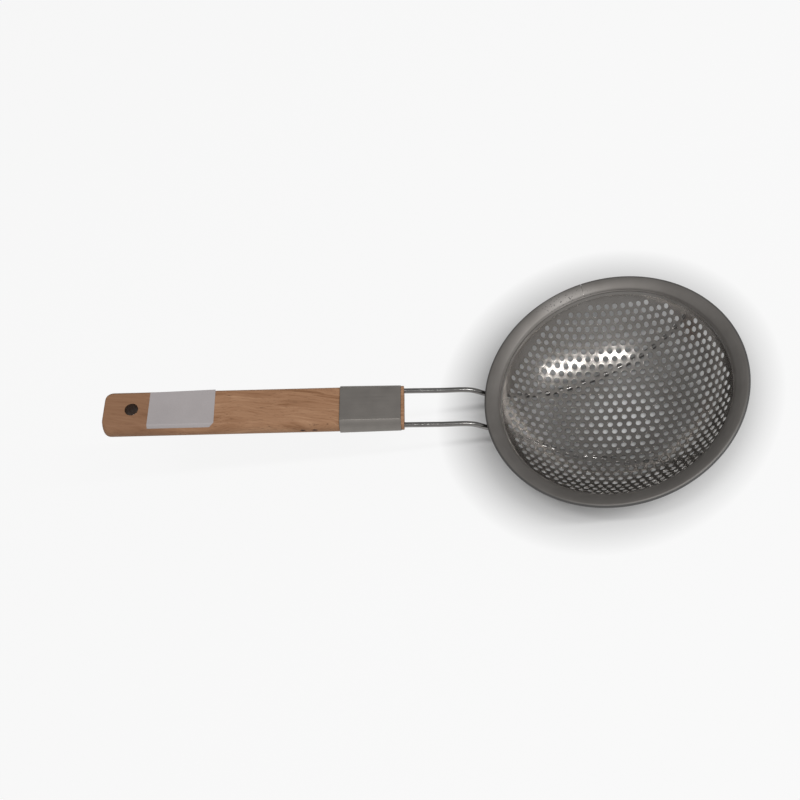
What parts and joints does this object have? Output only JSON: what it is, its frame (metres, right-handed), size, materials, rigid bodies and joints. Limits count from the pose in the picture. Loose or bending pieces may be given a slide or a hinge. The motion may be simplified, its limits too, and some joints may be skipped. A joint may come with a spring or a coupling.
{
  "type": "perforated strainer",
  "caption": "Round perforated sheet-metal strainer bowl with a folded rim band, carried on twin wires from a slanted wooden handle with a ferrule and a hanging hole.",
  "frame": {"origin": "middle of the object's bounding box in plan, at the level of the bowl's underside", "axes": "+Z out of the bowl's mouth, -X along the handle away from the bowl, Y across"},
  "size_m": [0.3536, 0.145, 0.1041],
  "materials": {
    "bowl_sheet": "satin pressed perforated stainless sheet",
    "band_sheet": "dull rolled stainless strip",
    "wire_steel": "drawn wire, half bright",
    "ferrule_sheet": "dull folded stainless sheet",
    "handle_wood": "thinly lacquered wood, grain along the handle"
  },
  "bodies": {
    "root": {"perforated_bowl": "bowl_sheet", "rim_band": "band_sheet", "wire_left": "wire_steel", "wire_right": "wire_steel", "ferrule": "ferrule_sheet", "handle": "handle_wood"}
  },
  "joints": []
}
